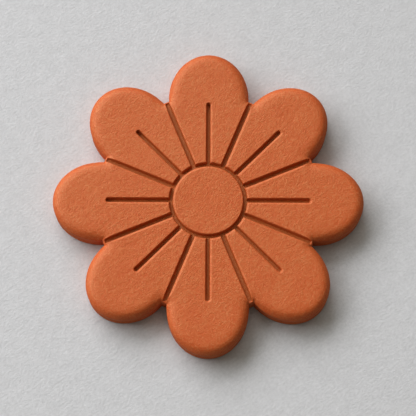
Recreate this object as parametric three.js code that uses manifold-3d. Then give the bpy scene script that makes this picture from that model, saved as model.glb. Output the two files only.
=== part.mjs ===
// A flower pressed from one slab of terracotta clay: eight rounded petals round a centre disc, parted and
// veined by drafted grooves. Millimetres, +Z up. The slab lies on z = 0 and the flower's axis is Z.
import * as THREE from "three";
import { mergeVertices } from "three/addons/utils/BufferGeometryUtils.js";
import Module from "manifold-3d";

// Slab: its face falls away towards the outline by less and less of a slope.
const tipToTip = 76;
const slabThickness = 6.4;
const faceEdgeDrop = 1.6;
const faceEdgeReach = 0.8;
const faceEdgeWidth = 3;
const footEdgeRound = 0.4;

// Petals: each one's outer end is an ellipse, met by its neighbours' at a short web of the slab.
const petalCount = 8;
const petalWidth = 19.8;
const petalEndLength = 11.55;
const webWidth = 1.36;

// Grooves: widths are across the floor, and each wall leans out to a lip that rolls over onto the face.
const grooveDepth = 1.2;
const grooveWallLean = 0.2;
const grooveLipRound = 0.3;
const grooveFloorRound = 0.12;
const partingWidth = 0.88;
const ringWidth = 0.68;
const veinWidth = 0.73;
const ringDiameter = 18.1;
const veinTipRadius = 25.3;

// Notch rims: a low rim of clay closes each parting groove where it meets the web.
const rimThickness = 0.6;
const rimDrop = 0.8;

// Facets
const endSteps = 26;
const cornerSteps = 4;
const edgeSteps = 5;
const footSteps = 2;
const lipSteps = 3;
const ringSteps = 72;
const veinTipSteps = 8;
const overshoot = 0.5;
const mergeDistance = 1e-4;

const clay = new THREE.MeshStandardMaterial({
  color: 0xc4653d,
  roughness: 0.85,
  metalness: 0,
});

const pitch = (2 * Math.PI) / petalCount;
const tipRadius = tipToTip / 2;
const petalEndCentre = tipRadius - petalEndLength;
const ringCentreRadius = ringDiameter / 2;
const halfPitch = pitch / 2;

const wasm = await Module();
wasm.setup();

// A closed mesh as a solid that can be joined and cut.
function solidOf(geometry) {
  const bare = new THREE.BufferGeometry();
  bare.setAttribute("position", geometry.getAttribute("position"));
  bare.setIndex(geometry.getIndex());
  const merged = mergeVertices(bare, mergeDistance);
  const corners = merged.getIndex().array;
  const kept = [];
  for (let i = 0; i < corners.length; i += 3) {
    const [a, b, c] = corners.subarray(i, i + 3);
    if (a !== b && b !== c && c !== a) kept.push(a, b, c);
  }
  const mesh = new wasm.Mesh({
    numProp: 3,
    vertProperties: merged.getAttribute("position").array,
    triVerts: new Uint32Array(kept),
  });
  return new wasm.Manifold(mesh);
}

function geometryOf(solid) {
  const mesh = solid.getMesh();
  const geometry = new THREE.BufferGeometry();
  geometry.setAttribute("position", new THREE.BufferAttribute(mesh.vertProperties, 3));
  geometry.setIndex(new THREE.BufferAttribute(mesh.triVerts, 1));
  const faceted = geometry.toNonIndexed();
  faceted.computeVertexNormals();
  return faceted;
}

// A closed skin over a stack of level rings, lowest first, each run anticlockwise with as many points.
function stackGeometry(rings) {
  const count = rings[0].length;
  const positions = rings.flat().flatMap((p) => [p.x, p.y, p.z]);
  const triangles = [];
  for (let r = 0; r + 1 < rings.length; r++) {
    for (let i = 0; i < count; i++) {
      const next = (i + 1) % count;
      const low = r * count;
      const high = low + count;
      triangles.push(low + i, low + next, high + next);
      triangles.push(low + i, high + next, high + i);
    }
  }
  const capOf = (ring) => THREE.ShapeUtils.triangulateShape(ring.map((p) => new THREE.Vector2(p.x, p.y)), []);
  const topStart = (rings.length - 1) * count;
  for (const [a, b, c] of capOf(rings[0])) triangles.push(c, b, a);
  for (const [a, b, c] of capOf(rings.at(-1))) triangles.push(topStart + a, topStart + b, topStart + c);
  const geometry = new THREE.BufferGeometry();
  geometry.setAttribute("position", new THREE.Float32BufferAttribute(positions, 3));
  geometry.setIndex(triangles);
  return geometry;
}

// Quarter round of the given radius as [inset, rise] steps, from upright to level.
function quarterRound(radius, steps) {
  return Array.from({ length: steps + 1 }, (_, i) => {
    const angle = ((Math.PI / 2) * i) / steps;
    return [radius * (1 - Math.cos(angle)), radius * Math.sin(angle)];
  });
}

// The rounded edge of the face as [inset, drop] steps, closest together at the outline, where it is steepest.
function faceEdge() {
  const least = Math.exp(-faceEdgeWidth / faceEdgeReach);
  return Array.from({ length: edgeSteps + 1 }, (_, i) => {
    const inset = faceEdgeWidth * (i / edgeSteps) ** 1.6;
    return [inset, faceEdgeDrop * (Math.exp(-inset / faceEdgeReach) - least)];
  });
}

// The ellipse's own angle at which a petal's end meets the web.
function petalLastAngle() {
  const along = petalEndLength * Math.sin(halfPitch);
  const across = (petalWidth / 2) * Math.cos(halfPitch);
  const nearness = webWidth / 2 - petalEndCentre * Math.sin(halfPitch);
  const swing = Math.acos(Math.max(-1, nearness / Math.hypot(along, across)));
  return swing - Math.atan2(across, along);
}

function petalEndPoint(angle) {
  const along = petalEndLength * Math.cos(angle);
  return new THREE.Vector2(petalEndCentre + along, (petalWidth / 2) * Math.sin(angle));
}

// How far out the web's straight side stands, along the parting groove.
function webRadius() {
  const corner = petalEndPoint(petalLastAngle());
  return corner.x * Math.cos(halfPitch) + corner.y * Math.sin(halfPitch);
}

// The flower's outline as stations: a point and the way out of the clay there. At the end of a petal they
// turn about its corner to face the way out along the parting groove, so that the edge rolls past it.
function outlineStations() {
  const lastAngle = petalLastAngle();
  const endStation = (angle) => ({
    point: petalEndPoint(angle),
    out: new THREE.Vector2((petalWidth / 2) * Math.cos(angle), petalEndLength * Math.sin(angle)).normalize(),
  });
  const cornerStations = (corner, from, to) =>
    Array.from({ length: cornerSteps }, (_, i) => {
      const turn = from + ((to - from) * (i + 1)) / cornerSteps;
      return { point: corner.point, out: new THREE.Vector2(Math.cos(turn), Math.sin(turn)) };
    });

  const petal = [];
  for (let i = 0; i <= endSteps; i++) {
    petal.push(endStation(lastAngle * ((2 * i) / endSteps - 1)));
  }
  const leaving = petal.at(-1);
  const arriving = petal[0];
  petal.push(...cornerStations(leaving, leaving.out.angle(), halfPitch));
  petal.unshift(...cornerStations(arriving, leaving.out.angle() * -1, -halfPitch).reverse());

  const centre = new THREE.Vector2();
  return Array.from({ length: petalCount }, (_, k) =>
    petal.map(({ point, out }) => ({
      point: point.clone().rotateAround(centre, k * pitch),
      out: out.clone().rotateAround(centre, k * pitch),
    })),
  ).flat();
}

function slabSolid() {
  const stations = outlineStations();
  const ring = (inset, z) =>
    stations.map(({ point, out }) => new THREE.Vector3(point.x - inset * out.x, point.y - inset * out.y, z));
  const foot = quarterRound(footEdgeRound, footSteps)
    .reverse()
    .map(([inset, rise]) => ring(inset, footEdgeRound - rise));
  const face = faceEdge().map(([inset, drop]) => ring(inset, slabThickness - drop));
  return solidOf(stackGeometry([...foot, ...face]));
}

// A groove's section as [half width, height] from its floor up: a softened corner, a drafted wall and a lip
// that rolls out over the face, then on above it. A shallower floor meets the same walls higher up.
function grooveSection(width, depth = grooveDepth) {
  const wallClimb = grooveDepth - grooveLipRound;
  const half = width / 2 + grooveWallLean * ((grooveDepth - depth) / wallClimb);
  const floor = slabThickness - depth;
  const corner = [
    [half - grooveFloorRound, floor],
    [half + grooveWallLean * (grooveFloorRound / wallClimb), floor + grooveFloorRound],
  ];
  const lipStart = width / 2 + grooveWallLean;
  const lip = quarterRound(grooveLipRound, lipSteps)
    .slice(0, -1)
    .map(([outset, rise]) => [lipStart + outset, slabThickness - grooveLipRound + rise]);
  const [[lastHalf, lastHeight]] = lip.slice(-1);
  const run = lipStart + grooveLipRound - lastHalf;
  const climb = slabThickness - lastHeight;
  const past = [lastHalf + 2 * run, lastHeight + 2 * climb];
  return [...corner, ...lip, past, [past[0], slabThickness + overshoot]];
}

// A straight groove that leaves the flower's axis in the given direction, from one distance off it to another
// on its floor. Its far end is drafted like its sides, and round where it is a vein's tip.
function straightGroove(section, start, end, roundTip, direction) {
  const [[floorHalf]] = section;
  const rings = section.map(([half, z]) => {
    const ring = [new THREE.Vector3(start, half, z), new THREE.Vector3(start, -half, z)];
    const steps = roundTip ? veinTipSteps : 1;
    for (let i = 0; i <= steps; i++) {
      const angle = Math.PI * (i / steps - 0.5);
      const reach = roundTip ? half * Math.cos(angle) : half - floorHalf;
      ring.push(new THREE.Vector3(end + reach, half * Math.sin(angle), z));
    }
    return ring;
  });
  return solidOf(stackGeometry(rings).rotateZ(direction));
}

function ringGroove() {
  const section = grooveSection(ringWidth);
  const outer = section.map(([half, z]) => new THREE.Vector2(ringCentreRadius + half, z));
  const inner = section.map(([half, z]) => new THREE.Vector2(ringCentreRadius - half, z)).reverse();
  const profile = [...outer, ...inner, outer[0]];
  return solidOf(new THREE.LatheGeometry(profile, ringSteps).rotateX(Math.PI / 2));
}

function clayFlower() {
  const deepEnd = webRadius() - rimThickness;
  const rimStart = deepEnd - rimThickness;
  const veinEnd = veinTipRadius - grooveLipRound - grooveWallLean - veinWidth / 2;
  const partingSection = grooveSection(partingWidth);
  const rimSection = grooveSection(partingWidth, rimDrop);
  const veinSection = grooveSection(veinWidth);
  let solid = slabSolid().subtract(ringGroove());
  for (let k = 0; k < petalCount; k++) {
    const between = (k + 0.5) * pitch;
    const parting = straightGroove(partingSection, ringCentreRadius, deepEnd, false, between);
    const overRim = straightGroove(rimSection, rimStart, tipRadius, false, between);
    const vein = straightGroove(veinSection, ringCentreRadius, veinEnd, true, k * pitch);
    solid = solid.subtract(parting).subtract(overRim).subtract(vein);
  }
  const mesh = new THREE.Mesh(geometryOf(solid), clay);
  mesh.name = "clay_flower";
  return mesh;
}

const flower = new THREE.Group();
flower.add(clayFlower());

export default flower;
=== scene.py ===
import math

import bpy
import numpy as np
from mathutils import Matrix, Vector, noise
from mathutils.geometry import delaunay_2d_cdt


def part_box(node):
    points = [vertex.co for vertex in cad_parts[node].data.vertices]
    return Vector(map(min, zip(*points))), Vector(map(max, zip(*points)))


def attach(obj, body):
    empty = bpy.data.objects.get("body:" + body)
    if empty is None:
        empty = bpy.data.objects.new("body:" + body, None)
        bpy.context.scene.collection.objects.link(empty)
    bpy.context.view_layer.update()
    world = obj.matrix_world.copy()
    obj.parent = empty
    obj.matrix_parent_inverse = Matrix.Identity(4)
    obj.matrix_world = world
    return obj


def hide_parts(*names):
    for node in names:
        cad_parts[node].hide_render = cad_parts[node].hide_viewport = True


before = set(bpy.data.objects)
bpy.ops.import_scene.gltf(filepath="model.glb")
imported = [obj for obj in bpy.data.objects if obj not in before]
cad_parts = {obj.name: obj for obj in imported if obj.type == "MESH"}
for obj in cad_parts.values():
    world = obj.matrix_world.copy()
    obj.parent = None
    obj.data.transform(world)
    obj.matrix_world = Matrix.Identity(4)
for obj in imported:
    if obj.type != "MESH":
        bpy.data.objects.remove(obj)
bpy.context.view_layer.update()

# The clay flower is worked out in millimetres and written to its mesh in metres. It lies on z = 0.
MM = 0.001
NODE = "clay_flower"

low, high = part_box(NODE)
TIP_RADIUS = (high.x - low.x) / 2 / MM
THICKNESS = (high.z - low.z) / MM

# The flower's outline, as the construction model has it
PETALS = 8
PITCH = 2 * math.pi / PETALS
HALF_PITCH = PITCH / 2
PETAL_WIDTH = 19.8
PETAL_END = 11.55
END_CENTRE = TIP_RADIUS - PETAL_END
WEB_WIDTH = 1.36

# The grooves. They lie where the construction model has them, and their floors are a little narrower.
# CORNER_ROUND rounds the clay over where two of them meet.
GROOVE_DEPTH = 1.2
PARTING_WIDTH = 0.84
RING_WIDTH = 0.66
VEIN_WIDTH = 0.69
WALL_LEAN = 0.2
RING_RADIUS = 9.05
VEIN_END = 24.42
CORNER_ROUND = 0.18

# The stamp was drawn out at a slight lean, so the lips on one side of each groove are wider, and the floor
# climbs towards that side. LIP_LEAN and WALL_DRAWN are the shares by which the lips' and the walls' widths
# on the two sides differ from their mean. LIP_SLOPE and FLOOR_CLIMB are slopes.
LEAN_DIRECTION = math.radians(-42)
LIP_WIDTH = 0.285
LIP_SLOPE = 0.42
LIP_LEAN = 0.72
WALL_DRAWN = -0.26
FLOOR_CLIMB = 0.15
FLOOR_HALF = 0.38
FLOOR_ROUND = 0.08

# The rounded edge of the face. EDGE_DROP is its fall at the outline, of which about a third is left at
# EDGE_REACH, and the mesh has rows of points along it as far as EDGE_WIDTH. At the outline itself there is a
# small sharper corner. In the notches the edge falls less, and the foot of the cut side has its own round.
EDGE_WIDTH = 3.6
EDGE_DROP = 1.55
EDGE_REACH = 0.86
EDGE_POWER = 1.13
EDGE_CORNER = 0.12
EDGE_CORNER_DEPTH = 0.05
NOTCH_SHARE = 0.8
NOTCH_REACH = 2.0
FOOT_ROUND = 0.35

# The low rim of clay that closes each parting groove: its crest's distance in from the web's side, how far
# below the face the crest lies, and how much lower the clay is at RIM_HALF from it. The rest says how softly
# it joins the groove, and how far in and to each side it is worked out.
RIM_PLACE = 0.34
RIM_HALF = 0.22
RIM_DROP = 0.86
RIM_SAG = 0.4
RIM_BLEND = 0.15
RIM_REACH = 1.5
RIM_BESIDE = 0.4

# Unevenness of the face, as each layer's lump size and height, how far apart the layers are taken from one
# noise, and how far below the top the face's mean level lies
WAVES = ((7.0, 0.05), (2.6, 0.018), (1.1, 0.006))
WAVES_APART = 7.3
FACE_SUNK = 0.05

# Mesh spacing, and how many rows of points the edge, the side and the foot's round get
GROOVE_STEP = 0.335
EDGE_STEP = 0.375
FACE_STEP = 0.46
UNDER_STEP = 1.5
EDGE_ROWS = 14
EDGE_CROWDING = 1.6
WALL_ROWS = 9
FOOT_ROWS = 4

# Distances from the foot of a groove's wall at which the mesh gets a line of points along the groove
FLOOR_LINES = (-0.24, -0.14, -0.08, -0.03)
WALL_LINES = (0, 0.05, 0.1, 0.15, 0.2, 0.25)
LIP_LINES = (0.31, 0.38, 0.46, 0.54, 0.62, 0.7, 0.78)
FACE_LINES = (0.88, 1.0, 1.15)

# Distances in from the web's side at which the mesh gets a line across the notch rim, and how far the
# parting grooves' own lines run out past that side
RIM_LINES = (0.06, 0.14, 0.24, 0.34, 0.46, 0.58, 0.7, 0.85, 1.05)
RIM_LINE_HALF = 0.9
RIM_STEP = 0.12
PAST_WEB = 0.8

# How clear of the grooves, of the edge's rows and of the foot the evenly spaced points stay
CLEAR_OF_GROOVE = 1.4
CLEAR_OF_EDGE = 0.25
CLEAR_OF_FOOT = 0.7

# Points closer together than this become one, on the face and on the underside
FACE_MERGE = 0.01
UNDER_MERGE = 1e-6

# A distance beyond everything here, and a number too small to matter
FAR = 1e9
TINY = 1e-9

# A parting groove's place among the petals, as a share of the pitch
BETWEEN_PETALS = 0.5


def turned(points, angle):
    """Points of the plan turned about the flower's axis."""
    c, s = math.cos(angle), math.sin(angle)
    return points @ np.array([[c, s], [-s, c]])


def on_every_petal(line, shift=0.0):
    """The line repeated round the flower, first turned by that share of the pitch."""
    return [turned(line, (k + shift) * PITCH) for k in range(PETALS)]


def polar(points, start):
    """Each point's distance from the axis, and its angle from the nearest of several rays.

    The rays lie a pitch apart, and one of them is at start.
    """
    radius = np.hypot(points[:, 0], points[:, 1])
    angle = np.arctan2(points[:, 1], points[:, 0]) - start
    return radius, angle - PITCH * np.round(angle / PITCH)


def smooth_least(a, b, width):
    """The lesser of two distances, rounded over where they meet."""
    share = np.maximum(width - np.abs(a - b), 0) / width
    return np.minimum(a, b) - share * share * width / 4


def groove_gap(points):
    """How far each point of the plan stands from the foot of the nearest groove's wall, negative inside."""
    radius, angle = polar(points, 0)
    along = radius * np.cos(angle)
    side = np.abs(radius * np.sin(angle))
    vein = np.hypot(np.maximum(along - VEIN_END, 0), side) - VEIN_WIDTH / 2
    parting = along * math.sin(HALF_PITCH) - side * math.cos(HALF_PITCH) - PARTING_WIDTH / 2
    ring = np.abs(radius - RING_RADIUS) - RING_WIDTH / 2
    spokes = np.where(radius < RING_RADIUS, FAR, smooth_least(vein, parting, CORNER_ROUND))
    return smooth_least(ring, spokes, CORNER_ROUND)


def petal_last_angle():
    """The ellipse's own angle at which a petal's end meets the web."""
    along = PETAL_END * math.sin(HALF_PITCH)
    across = PETAL_WIDTH / 2 * math.cos(HALF_PITCH)
    nearness = WEB_WIDTH / 2 - END_CENTRE * math.sin(HALF_PITCH)
    return math.acos(nearness / math.hypot(along, across)) - math.atan2(across, along)


def web_radius():
    """How far out the web's straight side stands, along the parting groove."""
    last = petal_last_angle()
    x = END_CENTRE + PETAL_END * math.cos(last)
    y = PETAL_WIDTH / 2 * math.sin(last)
    return x * math.cos(HALF_PITCH) + y * math.sin(HALF_PITCH)


WEB_RADIUS = web_radius()


def outline_points(step):
    """The outline anticlockwise: each petal's elliptic end at even steps, then the web's short side."""
    last = petal_last_angle()
    samples = 2000
    fine = np.linspace(-last, last, samples)
    end = np.stack([END_CENTRE + PETAL_END * np.cos(fine), PETAL_WIDTH / 2 * np.sin(fine)], -1)
    run = np.concatenate([[0], np.cumsum(np.hypot(*np.diff(end, axis=0).T))])
    places = np.linspace(0, run[-1], round(run[-1] / step) + 1)
    end = np.stack([np.interp(places, run, end[:, 0]), np.interp(places, run, end[:, 1])], -1)
    web_steps = max(round(WEB_WIDTH / (step / 2)), 2)
    first_of_next = turned(end[:1], PITCH)
    web = end[-1:] + (first_of_next - end[-1:]) * (np.arange(1, web_steps)[:, None] / web_steps)
    return np.vstack(on_every_petal(np.vstack([end, web])))


def outward(loop):
    """The way out of an anticlockwise loop at each of its points."""
    tangent = np.roll(loop, -1, axis=0) - np.roll(loop, 1, axis=0)
    length = np.hypot(tangent[:, 0], tangent[:, 1])
    return np.stack([tangent[:, 1], -tangent[:, 0]], -1) / length[:, None]


def distance_to_loop(points, loop):
    """Each point's distance to a closed loop of straight stretches."""
    stretches = np.roll(loop, -1, axis=0) - loop
    least = np.full(len(points), FAR)
    for start, stretch in zip(loop, stretches):
        offset = points - start
        share = np.clip(offset @ stretch / (stretch ** 2).sum(), 0, 1)
        least = np.minimum(least, ((offset - share[:, None] * stretch) ** 2).sum(1))
    return np.sqrt(least)


def inside_loop(points, loop):
    """Whether each point lies inside a closed loop, by how often a ray from it crosses the loop."""
    crossings = np.zeros(len(points), int)
    ends = np.roll(loop, -1, axis=0)
    for (ax, ay), (bx, by) in zip(loop, ends):
        straddles = (ay > points[:, 1]) != (by > points[:, 1])
        if ay != by:
            x = ax + (points[:, 1] - ay) * (bx - ax) / (by - ay)
            crossings += straddles & (points[:, 0] < x)
    return crossings % 2 == 1


def place_in_notch(points):
    """How far each point stands in from the web's straight side in its own notch, and beside its middle."""
    radius, angle = polar(points, HALF_PITCH)
    return WEB_RADIUS - radius * np.cos(angle), np.abs(radius * np.sin(angle))


def groove_side(points):
    """Which side of its groove each point of the plan is on: 1 towards the stamp's lean, -1 away from it."""
    step = 0.02
    across = groove_gap(points + [step, 0]) - groove_gap(points - [step, 0])
    up = groove_gap(points + [0, step]) - groove_gap(points - [0, step])
    leaning = across * math.cos(LEAN_DIRECTION) + up * math.sin(LEAN_DIRECTION)
    return leaning / (np.hypot(across, up) + TINY)


def groove_drop(gap, side):
    """How far below the face the clay lies at each distance from the foot of a groove's wall."""
    wall_foot = GROOVE_DEPTH - FLOOR_ROUND
    lean = WALL_LEAN * (1 + WALL_DRAWN * side)
    lip_width = LIP_WIDTH * (1 + LIP_LEAN * side)
    lip_depth = LIP_SLOPE * lip_width
    climb = FLOOR_CLIMB * side * np.clip(gap + FLOOR_HALF, 0, FLOOR_HALF)
    corner = FLOOR_ROUND * (1 - np.sqrt(1 - np.clip(gap / FLOOR_ROUND + 1, 0, 1) ** 2))
    floor = GROOVE_DEPTH - climb - corner
    wall = wall_foot - climb + (lip_depth - wall_foot + climb) * np.clip(gap / lean, 0, 1)
    lip = lip_depth * (1 - np.clip((gap - lean) / lip_width, 0, 1))
    return np.where(gap < 0, floor, np.where(gap < lean, wall, lip))


def edge_drop(inset, share):
    """How far below the face the rounded edge lies at each distance in from the outline."""
    corner = 1 - np.sqrt(1 - (1 - np.clip(inset / EDGE_CORNER, 0, 1)) ** 2)
    fall = np.exp(-((inset / (share * EDGE_REACH)) ** EDGE_POWER))
    return share * EDGE_DROP * fall + EDGE_CORNER_DEPTH * corner


def waves(points):
    """Uneven height of the pressed face."""
    total = np.zeros(len(points))
    for place, (size, height) in enumerate(WAVES):
        level = WAVES_APART * place
        total += height * np.array([noise.noise(Vector((x / size, y / size, level))) for x, y in points])
    return total


def face_height(points, loop):
    """The height of the grooved and rounded face at each point of the plan."""
    web, beside = place_in_notch(points)
    from_notch = np.hypot(web, np.maximum(beside - WEB_WIDTH / 2, 0))
    nearness = np.clip(from_notch / NOTCH_REACH, 0, 1)
    share = NOTCH_SHARE + (1 - NOTCH_SHARE) * nearness * nearness * (3 - 2 * nearness)
    groove = groove_drop(groove_gap(points), groove_side(points))
    drop = np.maximum(groove, edge_drop(distance_to_loop(points, loop), share))
    rim = RIM_DROP + RIM_SAG * ((web - RIM_PLACE) / RIM_HALF) ** 2
    on_rim = (beside < WEB_WIDTH / 2 + RIM_BESIDE) & (web < RIM_REACH)
    drop = np.where(on_rim, smooth_least(drop, rim, RIM_BLEND), drop)
    return THICKNESS - FACE_SUNK - drop + waves(points)


def along_line(start, end, step):
    """Points at about even steps from start to end."""
    start, end = np.array(start, float), np.array(end, float)
    count = max(round(float(np.hypot(*(end - start))) / step), 1)
    return start + (end - start) * (np.arange(count + 1)[:, None] / count)


def arc(centre, radius, start, end, step):
    """Points at about even steps round a centre, from one angle to another."""
    count = max(round(abs(end - start) * radius / step), 3)
    angles = start + (end - start) * np.arange(count + 1) / count
    return np.array(centre) + radius * np.stack([np.cos(angles), np.sin(angles)], -1)


def vein_line(half):
    """A line of points that runs out beside a vein groove, round its tip and back."""
    below = along_line((RING_RADIUS, -half), (VEIN_END, -half), GROOVE_STEP)
    tip = arc((VEIN_END, 0), half, -math.pi / 2, math.pi / 2, GROOVE_STEP / 2)
    return np.vstack([below, tip[1:], (below * [1, -1])[::-1][1:]])


def groove_lines():
    """Lines of points along every groove, closest where the clay turns."""
    lines = []
    for offset in FLOOR_LINES + WALL_LINES + LIP_LINES + FACE_LINES:
        for radius in (RING_RADIUS - RING_WIDTH / 2 - offset, RING_RADIUS + RING_WIDTH / 2 + offset):
            ring = arc((0, 0), radius, 0, 2 * math.pi, GROOVE_STEP)
            ring[-1] = ring[0]
            lines.append(ring)
        lines += on_every_petal(vein_line(VEIN_WIDTH / 2 + offset))
        half = PARTING_WIDTH / 2 + offset
        for side in (-half, half):
            wall = along_line((RING_RADIUS, side), (WEB_RADIUS + PAST_WEB, side), GROOVE_STEP)
            lines += on_every_petal(wall, BETWEEN_PETALS)
    middle = along_line((RING_RADIUS, 0), (WEB_RADIUS + PAST_WEB, 0), GROOVE_STEP)
    lines += on_every_petal(middle, BETWEEN_PETALS)
    for back in RIM_LINES:
        place = WEB_RADIUS - back
        across = along_line((place, -RIM_LINE_HALF), (place, RIM_LINE_HALF), RIM_STEP)
        lines += on_every_petal(across, BETWEEN_PETALS)
    return lines


def inset_loops(loop):
    """The outline drawn in by steps that follow the rounded edge, less the points that come too near it."""
    out = outward(loop)
    near_share = 0.97
    loops = []
    for row in range(1, EDGE_ROWS + 1):
        inset = EDGE_WIDTH * (row / EDGE_ROWS) ** EDGE_CROWDING
        drawn = loop - out * inset
        loops.append(drawn[distance_to_loop(drawn, loop) > inset * near_share])
    return loops


def hex_points(step, reach):
    """Points evenly spaced in staggered rows."""
    rows = []
    for j, y in enumerate(np.arange(-reach, reach, step * math.sqrt(3) / 2)):
        x = np.arange(-reach, reach, step) + (j % 2) * step / 2
        rows.append(np.stack([x, np.full(len(x), y)], -1))
    return np.vstack(rows)


def triangulate(loop, lines, loose, merge_distance):
    """Points and triangles inside a closed loop that keep the loop's and the lines' edges."""
    count = len(loop)
    edges = [(i, (i + 1) % count) for i in range(count)]
    for line in lines:
        edges += [(count + i, count + i + 1) for i in range(len(line) - 1)]
        count += len(line)
    flat = [Vector(p) for p in np.vstack([loop, *lines, loose])]
    all_triangles = 0
    verts, _, faces, *_ = delaunay_2d_cdt(flat, edges, [], all_triangles, merge_distance)
    verts = np.array([tuple(v) for v in verts])
    faces = np.array(faces)
    return verts, faces[inside_loop(verts[faces].mean(1), loop)]


def boundary_of(faces):
    """The open edge of a sheet of triangles as one loop of vertex numbers, with the sheet on its left."""
    sides = np.vstack([faces[:, [0, 1]], faces[:, [1, 2]], faces[:, [2, 0]]]).tolist()
    known = {(a, b) for a, b in sides}
    after = {a: b for a, b in sides if (b, a) not in known}
    start = next(iter(after))
    loop, here = [start], after[start]
    while here != start:
        loop.append(here)
        here = after[here]
    return loop


def face_sheet(loop):
    """The face as points and triangles, with the outline as its open edge."""
    loose = hex_points(FACE_STEP, TIP_RADIUS)
    loose = loose[inside_loop(loose, loop)]
    clear = groove_gap(loose) > CLEAR_OF_GROOVE
    clear &= distance_to_loop(loose, loop) > EDGE_WIDTH + CLEAR_OF_EDGE
    loose = np.vstack([loose[clear], *inset_loops(loop)])
    plan, faces = triangulate(loop, groove_lines(), loose, FACE_MERGE)
    used, faces = np.unique(faces, return_inverse=True)
    plan = plan[used]
    return np.column_stack([plan, face_height(plan, loop)]), faces.reshape(-1, 3)


def side_rows(rim):
    """The rows of the cut side from the face's rim down, as how far each is drawn in and its heights."""
    rows = []
    for row in range(1, WALL_ROWS + 1):
        rows.append((0.0, rim[:, 2] + (FOOT_ROUND - rim[:, 2]) * (row / WALL_ROWS)))
    for row in range(1, FOOT_ROWS + 1):
        angle = math.pi / 2 * row / FOOT_ROWS
        inset = FOOT_ROUND * (1 - math.cos(angle))
        rows.append((inset, np.full(len(rim), FOOT_ROUND * (1 - math.sin(angle)))))
    return rows


def underside(foot):
    """The flat underside inside the foot's loop, as its added points and its triangles, seen from above."""
    loose = hex_points(UNDER_STEP, TIP_RADIUS)
    loose = loose[inside_loop(loose, foot) & (distance_to_loop(loose, foot) > CLEAR_OF_FOOT)]
    verts, faces = triangulate(foot, [], loose, UNDER_MERGE)
    if len(verts) != len(foot) + len(loose):
        raise ValueError("the underside's triangles don't keep its points")
    extra = verts[len(foot):]
    return np.column_stack([extra, np.zeros(len(extra))]), faces.tolist()


def build_flower():
    """The whole flower as one closed mesh: its face, its cut side and its underside."""
    top, triangles = face_sheet(outline_points(EDGE_STEP))
    above = boundary_of(triangles)
    rim = top[above]
    out = outward(rim[:, :2])
    points = [top]
    count = len(top)
    quads = []
    for inset, heights in side_rows(rim):
        points.append(np.column_stack([rim[:, :2] - out * inset, heights]))
        below = list(range(count, count + len(rim)))
        for i in range(len(rim)):
            j = (i + 1) % len(rim)
            quads.append((above[j], above[i], below[i], below[j]))
        above = below
        count += len(rim)

    extra, under = underside(points[-1][:, :2])
    points.append(extra)
    number = above + list(range(count, count + len(extra)))
    under = [(number[c], number[b], number[a]) for a, b, c in under]

    mesh = bpy.data.meshes.new("pressed_clay")
    mesh.from_pydata((np.vstack(points) * MM).tolist(), [], triangles.tolist() + quads + under)
    mesh.validate()
    mesh.polygons.foreach_set("use_smooth", [True] * len(mesh.polygons))
    mesh.update()
    flower = bpy.data.objects.new("pressed_clay_flower", mesh)
    bpy.context.scene.collection.objects.link(flower)
    return flower


class Nodes:
    """Shorthand for a material's or a world's node tree."""

    # The Mix node's sockets for two colours, and its colour result
    MIX_FIRST = 6
    MIX_SECOND = 7
    MIX_RESULT = 2

    def __init__(self, owner, shader):
        owner.use_nodes = True
        self.tree = owner.node_tree
        self.shader = self.tree.nodes[shader]

    def give(self, socket, value):
        """Links a socket to another node's, or sets its constant."""
        if isinstance(value, bpy.types.NodeSocket):
            self.tree.links.new(value, socket)
        elif socket.type == "RGBA":
            socket.default_value = (*value, 1)
        else:
            socket.default_value = value

    def give_all(self, node, inputs):
        for name, value in inputs.items():
            self.give(node.inputs[name], value)

    def add(self, kind, inputs=None, **settings):
        node = self.tree.nodes.new(kind)
        for name, value in settings.items():
            setattr(node, name, value)
        self.give_all(node, inputs or {})
        return node

    def math(self, operation, a, b=0.0, c=0.0):
        return self.add("ShaderNodeMath", {0: a, 1: b, 2: c}, operation=operation).outputs[0]

    def noise(self, place, size, detail, roughness):
        """Noise from -1 to 1 with lumps of the given size in millimetres."""
        inputs = {"Vector": place, "Scale": 1 / (size * MM), "Detail": detail, "Roughness": roughness}
        value = self.add("ShaderNodeTexNoise", inputs).outputs["Fac"]
        return self.math("MULTIPLY_ADD", value, 2.0, -1.0)

    def layered(self, layers, shares):
        """The sum of the layers that shares names, each times its share."""
        total = 0.0
        for name, share in shares.items():
            total = self.math("MULTIPLY_ADD", layers[name], share, total)
        return total

    def between(self, value, low, high, to_low=0.0, to_high=1.0):
        inputs = {"Value": value, "From Min": low, "From Max": high, "To Min": to_low, "To Max": to_high}
        return self.add("ShaderNodeMapRange", inputs).outputs["Result"]

    def mix(self, share, first, second):
        node = self.add("ShaderNodeMix", {"Factor": share}, data_type="RGBA")
        self.give(node.inputs[self.MIX_FIRST], first)
        self.give(node.inputs[self.MIX_SECOND], second)
        return node.outputs[self.MIX_RESULT]

    def bump(self, height, distance):
        inputs = {"Height": height, "Strength": 1.0, "Distance": distance * MM}
        return self.add("ShaderNodeBump", inputs).outputs["Normal"]

    def mirrored(self):
        """1 for the rays that gloss sends out, otherwise 0."""
        return self.add("ShaderNodeLightPath").outputs["Is Glossy Ray"]


# Clay colours: its own, the palest and deepest that its grain reaches, and the darker one painted into the
# grooves as shade
CLAY = (0.534, 0.095, 0.020)
CLAY_PALE = (0.62, 0.24, 0.09)
CLAY_DEEP = (0.45, 0.02, 0.001)
# Painted shade: the darker colour that the groove floors and lower walls get where shade falls
CLAY_GROOVE_SHADE = (0.37, 0.073, 0.007)

# The grain's direction, and how far its lumps are drawn out along it
GRAIN_DIRECTION = math.radians(36)
GRAIN_LENGTH = 1.45

# How strongly each layer of noise shows in the clay's tone and in its relief, and the relief's height
CLAY_TONE = {"fine": 0.9, "mottle": 0.20, "patch": 0.16, "broad": 0.08}
CLAY_RELIEF = {"fine": 0.55, "dimple": 0.40}
CLAY_RELIEF_HEIGHT = 0.12
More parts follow.
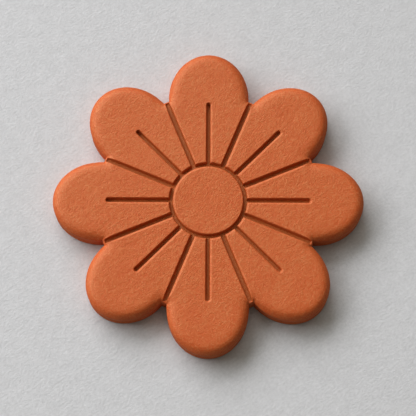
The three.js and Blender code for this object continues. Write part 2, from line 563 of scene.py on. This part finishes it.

# The painted shade in the grooves (a darker clay colour standing in for the shade in these recesses): its
# share, the depths below the top and the distances in from the web's side at which it is whole and gone, and
# the heights between which it fades out above the underside
GROOVE_SHADE_SHARE = 0.7
GROOVE_SHADE_WHOLE_DEPTH = 1.1
GROOVE_SHADE_GONE_DEPTH = 0.45
GROOVE_SHADE_WHOLE_IN = 0.9
GROOVE_SHADE_GONE_IN = 0.4
GROOVE_SHADE_GONE_HEIGHT = 3.5
GROOVE_SHADE_WHOLE_HEIGHT = 4.5

# The clay's roughness at the two ends of its mottling, how much rougher the cut side is, and the heights
# between which that fades out. Then the strength of its gloss, and the gloss's tint.
CLAY_SMOOTH = 0.42
CLAY_ROUGH = 0.54
CUT_ROUGHER = 0.35
CUT_WHOLE_HEIGHT = 3.0
CUT_GONE_HEIGHT = 4.5
CLAY_GLOSS = 0.5
CLAY_GLOSS_TINT = (1.0, 1.0, 0.6)


def grain_place(nodes):
    """Object coordinates, and the same turned and drawn out so that lumps lie along the grain."""
    place = nodes.add("ShaderNodeTexCoord").outputs["Object"]
    inputs = {"Vector": place, "Rotation": (0, 0, GRAIN_DIRECTION), "Scale": (GRAIN_LENGTH, 1, 1)}
    return place, nodes.add("ShaderNodeMapping", inputs, vector_type="TEXTURE").outputs["Vector"]


def groove_shade_places(nodes, x, y, z):
    """1 where shade is painted into the grooves, 0 on the face, the cut side, the underside and the notches'
    outer ends.
    """
    whole, gone = THICKNESS - GROOVE_SHADE_WHOLE_DEPTH, THICKNESS - GROOVE_SHADE_GONE_DEPTH
    deep = nodes.between(z, whole * MM, gone * MM, 1.0, 0.0)
    radius = nodes.math("MULTIPLY_ADD", y, y, nodes.math("MULTIPLY", x, x))
    radius = nodes.math("SQRT", radius)
    whole, gone = WEB_RADIUS - GROOVE_SHADE_WHOLE_IN, WEB_RADIUS - GROOVE_SHADE_GONE_IN
    inner = nodes.between(radius, whole * MM, gone * MM, 1.0, 0.0)
    above = nodes.between(z, GROOVE_SHADE_GONE_HEIGHT * MM, GROOVE_SHADE_WHOLE_HEIGHT * MM)
    return nodes.math("MULTIPLY", nodes.math("MULTIPLY", deep, inner), above)


def clay_material():
    made = bpy.data.materials.new("terracotta")
    nodes = Nodes(made, "Principled BSDF")
    place, along = grain_place(nodes)
    layers = {
        "fine": nodes.noise(along, size=0.27, detail=2.0, roughness=0.65),
        "dimple": nodes.noise(along, size=1.0, detail=2.0, roughness=0.5),
        "mottle": nodes.noise(along, size=0.9, detail=3.0, roughness=0.55),
        "patch": nodes.noise(along, size=4.5, detail=2.0, roughness=0.5),
        "broad": nodes.noise(place, size=16.0, detail=1.0, roughness=0.5),
    }
    tone = nodes.layered(layers, CLAY_TONE)
    pale = nodes.between(tone, 0.0, 1.0)
    deep = nodes.between(nodes.math("MULTIPLY", tone, -1.0), 0.0, 1.0)
    colour = nodes.mix(pale, CLAY, CLAY_PALE)
    colour = nodes.mix(deep, colour, CLAY_DEEP)
    x, y, z = nodes.add("ShaderNodeSeparateXYZ", {"Vector": place}).outputs
    # Painted shade: the grooves' floors and lower walls are darkened towards CLAY_GROOVE_SHADE, standing in
    # for the shade there
    groove_shade = nodes.math("MULTIPLY", groove_shade_places(nodes, x, y, z), GROOVE_SHADE_SHARE)
    cut_side = nodes.between(z, CUT_WHOLE_HEIGHT * MM, CUT_GONE_HEIGHT * MM, CUT_ROUGHER, 0.0)
    mottled = nodes.between(layers["mottle"], -1.0, 1.0, CLAY_SMOOTH, CLAY_ROUGH)
    finish = {
        "Base Color": nodes.mix(groove_shade, colour, CLAY_GROOVE_SHADE),
        "Roughness": nodes.math("ADD", mottled, cut_side),
        "Specular IOR Level": CLAY_GLOSS,
        "Specular Tint": CLAY_GLOSS_TINT,
        "Normal": nodes.bump(nodes.layered(layers, CLAY_RELIEF), CLAY_RELIEF_HEIGHT),
    }
    nodes.give_all(nodes.shader, finish)
    return made


# The table's colour, and the darker one that gloss mirrors: rough open clay hardly mirrors its surroundings.
# Then how strongly each layer of noise shows in its tone, and the height of its relief.
TABLE_COLOUR = (0.56, 0.56, 0.562)
TABLE_MIRRORED = (0.15, 0.14, 0.10)
TABLE_TONE = {"fine": 0.085, "broad": 0.042}
TABLE_RELIEF_HEIGHT = 0.05
TABLE_ROUGHNESS = 0.9
TABLE_GLOSS = 0.1

# Half the table's side in metres, and its level in millimetres, just clear of the clay's underside
TABLE_REACH = 1.5
TABLE_LEVEL = -0.02


def table_material():
    """A pale surface whose tone turns its colour to black at -0.5, leaves it at 0 and doubles it at 0.5."""
    made = bpy.data.materials.new("pale_floor")
    nodes = Nodes(made, "Principled BSDF")
    along = grain_place(nodes)[1]
    layers = {
        "fine": nodes.noise(along, size=0.55, detail=3.0, roughness=0.6),
        "broad": nodes.noise(along, size=2.2, detail=2.0, roughness=0.5),
    }
    tone = nodes.between(nodes.layered(layers, TABLE_TONE), -0.5, 0.5)
    colour = nodes.mix(tone, (0.0, 0.0, 0.0), tuple(2 * c for c in TABLE_COLOUR))
    finish = {
        "Base Color": nodes.mix(nodes.mirrored(), colour, TABLE_MIRRORED),
        "Roughness": TABLE_ROUGHNESS,
        "Specular IOR Level": TABLE_GLOSS,
        "Normal": nodes.bump(layers["fine"], TABLE_RELIEF_HEIGHT),
    }
    nodes.give_all(nodes.shader, finish)
    return made


def add_table():
    """The table top that the clay lies on, which is the scene's floor."""
    mesh = bpy.data.meshes.new("table_top")
    signs = ((-1, -1), (1, -1), (1, 1), (-1, 1))
    corners = [(x * TABLE_REACH, y * TABLE_REACH, TABLE_LEVEL * MM) for x, y in signs]
    mesh.from_pydata(corners, [], [(0, 1, 2, 3)])
    floor = bpy.data.objects.new("table_top", mesh)
    bpy.context.scene.collection.objects.link(floor)
    mesh.materials.append(table_material())


# The photograph's view. PIXEL is the length that one of its pixels covers on the flower's face, the camera
# stands PIXELS_AWAY such lengths off, and AIM is the point in the middle of the frame.
PIXEL = 0.243
IMAGE_WIDTH = 416
PIXELS_AWAY = 1500
CAMERA_DISTANCE = PIXELS_AWAY * PIXEL
CAMERA_ELEVATION = math.radians(75.3)
CAMERA_ROLL = math.radians(0.28)
AIM = Vector((-0.05, -2.0, THICKNESS))
SENSOR_WIDTH = 36
NEAREST_SEEN = 0.01


def add_camera():
    data = bpy.data.cameras.new("view")
    data.sensor_width = SENSOR_WIDTH
    data.lens = SENSOR_WIDTH * CAMERA_DISTANCE / (IMAGE_WIDTH * PIXEL)
    data.clip_start = NEAREST_SEEN
    camera = bpy.data.objects.new("view", data)
    bpy.context.scene.collection.objects.link(camera)
    back = Vector((0, -math.cos(CAMERA_ELEVATION), math.sin(CAMERA_ELEVATION)))
    camera.location = (AIM + back * CAMERA_DISTANCE) * MM
    tilted = Matrix.Rotation(math.pi / 2 - CAMERA_ELEVATION, 3, "X") @ Matrix.Rotation(CAMERA_ROLL, 3, "Z")
    camera.rotation_euler = tilted.to_euler()
    bpy.context.scene.camera = camera


# Each lamp's azimuth and elevation in degrees, its distance in metres, its width and height as shares of that
# distance, the power that it would need at one metre, and its colour
LAMPS = {
    "near_softbox": (165.0, 32.0, 0.7, 0.75, 0.6, 5.75, (0.99, 1.0, 1.04)),
    "far_softbox": (122.0, 32.0, 8.0, 1.05, 0.6, 10.3, (0.99, 1.0, 1.04)),
    "overhead": (90.0, 60.0, 3.0, 0.93, 1.07, 1.9, (1.02, 1.0, 0.95)),
}

# The room's even light, and how much of it gloss mirrors
FILL = 0.142
FILL_MIRRORED = 0.02
FILL_COLOUR = (1.06, 1.0, 0.82)


def add_lamp(name, azimuth, elevation, distance, width, height, power, colour):
    data = bpy.data.lights.new(name, "AREA")
    data.shape = "ELLIPSE"
    data.size = width * distance
    data.size_y = height * distance
    data.energy = power * distance ** 2
    data.color = colour
    lamp = bpy.data.objects.new(name, data)
    bpy.context.scene.collection.objects.link(lamp)
    turn, rise = math.radians(azimuth), math.radians(elevation)
    towards = Vector((math.cos(turn) * math.cos(rise), math.sin(turn) * math.cos(rise), math.sin(rise)))
    lamp.location = towards * distance
    lamp.rotation_euler = towards.to_track_quat("Z", "Y").to_euler()


def add_lights():
    for name, values in LAMPS.items():
        add_lamp(name, *values)
    world = bpy.data.worlds.new("room")
    nodes = Nodes(world, "Background")
    strength = nodes.between(nodes.mirrored(), 0.0, 1.0, FILL, FILL_MIRRORED)
    nodes.give_all(nodes.shader, {"Color": FILL_COLOUR, "Strength": strength})
    bpy.context.scene.world = world


flower = build_flower()
flower.data.materials.append(clay_material())
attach(flower, "root")
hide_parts(NODE)
add_table()
add_camera()
add_lights()
bpy.context.scene.view_settings.view_transform = "Standard"
